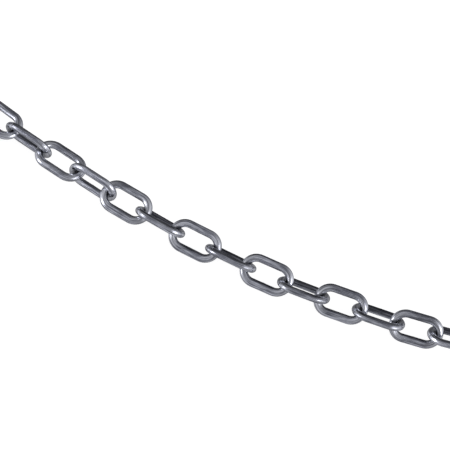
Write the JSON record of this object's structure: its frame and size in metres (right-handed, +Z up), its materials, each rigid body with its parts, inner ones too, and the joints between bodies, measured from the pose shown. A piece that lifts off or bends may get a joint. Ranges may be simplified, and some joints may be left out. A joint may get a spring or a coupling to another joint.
{
  "type": "welded steel chain",
  "caption": "A length of long-link welded steel chain in round wire, lying in a gentle bend on a flat surface.",
  "frame": {"origin": "centre of the chain's footprint, on the floor it lies on", "axes": "+X along the chain from its first link to its last, +Z up"},
  "size_m": [0.9966, 0.1286, 0.0245],
  "materials": {
    "steel": "satin bare steel, slightly blue grey, rubbed bright on the bends"
  },
  "bodies": {
    "link_01": {"link_01": "steel"},
    "link_02": {"link_02": "steel"},
    "link_03": {"link_03": "steel"},
    "link_04": {"link_04": "steel"},
    "link_05": {"link_05": "steel"},
    "link_06": {"link_06": "steel"},
    "link_07": {"link_07": "steel"},
    "link_08": {"link_08": "steel"},
    "link_09": {"link_09": "steel"},
    "link_10": {"link_10": "steel"},
    "link_11": {"link_11": "steel"},
    "link_12": {"link_12": "steel"},
    "link_13": {"link_13": "steel"},
    "link_14": {"link_14": "steel"},
    "link_15": {"link_15": "steel"},
    "link_16": {"link_16": "steel"},
    "link_17": {"link_17": "steel"},
    "link_18": {"link_18": "steel"},
    "link_19": {"link_19": "steel"},
    "link_20": {"link_20": "steel"},
    "link_21": {"link_21": "steel"},
    "link_22": {"link_22": "steel"},
    "link_23": {"link_23": "steel"},
    "link_24": {"link_24": "steel"},
    "link_25": {"link_25": "steel"},
    "link_26": {"link_26": "steel"},
    "link_27": {"link_27": "steel"},
    "link_28": {"link_28": "steel"},
    "link_29": {"link_29": "steel"},
    "link_30": {"link_30": "steel"},
    "link_31": {"link_31": "steel"},
    "link_32": {"link_32": "steel"},
    "link_33": {"link_33": "steel"},
    "link_34": {"link_34": "steel"}
  },
  "joints": [
    {"name": "swing_02", "type": "hinge", "parent": "link_01", "child": "link_02", "pos_m": [-0.4602, 0.04736, 0.00975], "axis": [0.183, 0.683, 0.7071], "range_deg": [-90, 90]},
    {"name": "swing_03", "type": "hinge", "parent": "link_02", "child": "link_03", "pos_m": [-0.43152, 0.03967, 0.00975], "axis": [-0.183, -0.683, 0.7071], "range_deg": [-90, 90]},
    {"name": "swing_04", "type": "hinge", "parent": "link_03", "child": "link_04", "pos_m": [-0.40283, 0.03199, 0.00975], "axis": [-0.183, -0.683, -0.7071], "range_deg": [-90, 90]},
    {"name": "swing_05", "type": "hinge", "parent": "link_04", "child": "link_05", "pos_m": [-0.37414, 0.0243, 0.00975], "axis": [0.183, 0.683, -0.7071], "range_deg": [-90, 90]},
    {"name": "swing_06", "type": "hinge", "parent": "link_05", "child": "link_06", "pos_m": [-0.34545, 0.01661, 0.00975], "axis": [0.183, 0.683, 0.7071], "range_deg": [-90, 90]},
    {"name": "swing_07", "type": "hinge", "parent": "link_06", "child": "link_07", "pos_m": [-0.31677, 0.00893, 0.01034], "axis": [-0.1952, -0.6797, 0.707], "range_deg": [-90, 90]},
    {"name": "swing_08", "type": "hinge", "parent": "link_07", "child": "link_08", "pos_m": [-0.28808, 0.00124, 0.01028], "axis": [-0.183, -0.683, -0.7071], "range_deg": [-90, 90]},
    {"name": "swing_09", "type": "hinge", "parent": "link_08", "child": "link_09", "pos_m": [-0.25941, -0.00644, 0.01129], "axis": [0.1901, 0.6191, -0.7619], "range_deg": [-90, 90]},
    {"name": "swing_10", "type": "hinge", "parent": "link_09", "child": "link_10", "pos_m": [-0.23072, -0.01413, 0.01119], "axis": [0.2103, 0.7847, 0.5831], "range_deg": [-90, 90]},
    {"name": "swing_11", "type": "hinge", "parent": "link_10", "child": "link_11", "pos_m": [-0.20203, -0.02182, 0.01155], "axis": [-0.1424, -0.4951, 0.8571], "range_deg": [-90, 90]},
    {"name": "swing_12", "type": "hinge", "parent": "link_11", "child": "link_12", "pos_m": [-0.17334, -0.0295, 0.01152], "axis": [-0.2475, -0.9237, -0.2924], "range_deg": [-90, 90]},
    {"name": "swing_13", "type": "hinge", "parent": "link_12", "child": "link_13", "pos_m": [-0.1444, -0.03613, 0.01234], "axis": [0.1245, 0.4371, -0.8907], "range_deg": [-90, 90]},
    {"name": "swing_14", "type": "hinge", "parent": "link_13", "child": "link_14", "pos_m": [-0.11524, -0.0418, 0.01226], "axis": [0.191, 0.9645, 0.1822], "range_deg": [-90, 90]},
    {"name": "swing_15", "type": "hinge", "parent": "link_14", "child": "link_15", "pos_m": [-0.08602, -0.04712, 0.01226], "axis": [-0.0452, -0.2463, 0.9681], "range_deg": [-90, 90]},
    {"name": "swing_16", "type": "hinge", "parent": "link_15", "child": "link_16", "pos_m": [-0.05652, -0.05055, 0.01226], "axis": [-0.1008, -0.8209, -0.5621], "range_deg": [-90, 90]},
    {"name": "swing_17", "type": "hinge", "parent": "link_16", "child": "link_17", "pos_m": [-0.0269, -0.05223, 0.01057], "axis": [0.0201, 0.8052, -0.5926], "range_deg": [-90, 90]},
    {"name": "swing_18", "type": "hinge", "parent": "link_17", "child": "link_18", "pos_m": [0.00278, -0.05332, 0.01073], "axis": [0.0231, 0.5873, 0.809], "range_deg": [-90, 90]},
    {"name": "swing_19", "type": "hinge", "parent": "link_18", "child": "link_19", "pos_m": [0.03248, -0.05371, 0.01073], "axis": [-0.0124, -0.7911, 0.6115], "range_deg": [-90, 90]},
    {"name": "swing_20", "type": "hinge", "parent": "link_19", "child": "link_20", "pos_m": [0.06217, -0.05263, 0.01068], "axis": [0.0189, -0.6425, -0.766], "range_deg": [-90, 90]},
    {"name": "swing_21", "type": "hinge", "parent": "link_20", "child": "link_21", "pos_m": [0.0917, -0.04941, 0.01068], "axis": [-0.09, 0.8864, -0.454], "range_deg": [-90, 90]},
    {"name": "swing_22", "type": "hinge", "parent": "link_21", "child": "link_22", "pos_m": [0.12115, -0.04558, 0.0111], "axis": [-0.0853, 0.5888, 0.8038], "range_deg": [-90, 90]},
    {"name": "swing_23", "type": "hinge", "parent": "link_22", "child": "link_23", "pos_m": [0.1505, -0.04101, 0.01106], "axis": [0.1396, -0.9126, 0.3843], "range_deg": [-90, 90]},
    {"name": "swing_24", "type": "hinge", "parent": "link_23", "child": "link_24", "pos_m": [0.17955, -0.03485, 0.01139], "axis": [0.1168, -0.5245, -0.8433], "range_deg": [-90, 90]},
    {"name": "swing_25", "type": "hinge", "parent": "link_24", "child": "link_25", "pos_m": [0.20826, -0.02721, 0.01136], "axis": [-0.2404, 0.9229, -0.3007], "range_deg": [-90, 90]},
    {"name": "swing_26", "type": "hinge", "parent": "link_25", "child": "link_26", "pos_m": [0.23699, -0.01967, 0.01136], "axis": [-0.1229, 0.469, 0.8746], "range_deg": [-90, 90]},
    {"name": "swing_27", "type": "hinge", "parent": "link_26", "child": "link_27", "pos_m": [0.2657, -0.01209, 0.01136], "axis": [0.2107, -0.7984, 0.564], "range_deg": [-90, 90]},
    {"name": "swing_28", "type": "hinge", "parent": "link_27", "child": "link_28", "pos_m": [0.29439, -0.00447, 0.01025], "axis": [0.1386, -0.6236, -0.7693], "range_deg": [-90, 90]},
    {"name": "swing_29", "type": "hinge", "parent": "link_28", "child": "link_29", "pos_m": [0.32308, 0.0032, 0.01036], "axis": [-0.1825, 0.6831, -0.7071], "range_deg": [-90, 90]},
    {"name": "swing_30", "type": "hinge", "parent": "link_29", "child": "link_30", "pos_m": [0.35176, 0.01092, 0.00969], "axis": [-0.1698, 0.6866, 0.707], "range_deg": [-90, 90]},
    {"name": "swing_31", "type": "hinge", "parent": "link_30", "child": "link_31", "pos_m": [0.38042, 0.01868, 0.00975], "axis": [0.1847, -0.6826, 0.7071], "range_deg": [-90, 90]},
    {"name": "swing_32", "type": "hinge", "parent": "link_31", "child": "link_32", "pos_m": [0.40908, 0.02649, 0.00975], "axis": [0.1858, -0.6823, -0.7071], "range_deg": [-90, 90]},
    {"name": "swing_33", "type": "hinge", "parent": "link_32", "child": "link_33", "pos_m": [0.43772, 0.03434, 0.00975], "axis": [-0.1868, 0.682, -0.7071], "range_deg": [-90, 90]},
    {"name": "swing_34", "type": "hinge", "parent": "link_33", "child": "link_34", "pos_m": [0.46635, 0.04223, 0.00975], "axis": [-0.1879, 0.6817, 0.7071], "range_deg": [-90, 90]}
  ]
}
